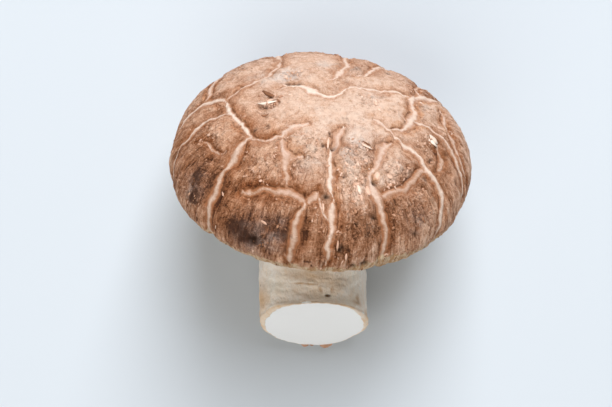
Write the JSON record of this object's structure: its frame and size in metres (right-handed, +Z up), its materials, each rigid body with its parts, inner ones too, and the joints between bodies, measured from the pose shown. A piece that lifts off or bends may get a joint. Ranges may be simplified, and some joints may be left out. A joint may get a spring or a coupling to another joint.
{
  "type": "shiitake mushroom",
  "caption": "Fresh shiitake lying on its side: domed brown cap split into plates by pale cracks, rolled-in margin, pale gills, and a thick curved stem cut off flat.",
  "frame": {"origin": "middle of the bounding box's bottom face, on the surface that the mushroom lies on", "axes": "+Z up. The cap's axis leans up and back towards +Y, and the stem runs towards -Y with its cut facing -Y and a little upwards."},
  "size_m": [0.0588, 0.0602, 0.0504],
  "materials": {
    "cap": "dry matte skin, tan to dark brown, split into plates with pale pinkish cracks between them",
    "gills": "thin matte cream leaves",
    "stem": "dull fibrous cream skin with tan and brown smudges, and a smooth near-white cut"
  },
  "bodies": {
    "root": {"cap": "cap", "gills": "gills", "stem": "stem"}
  },
  "joints": []
}
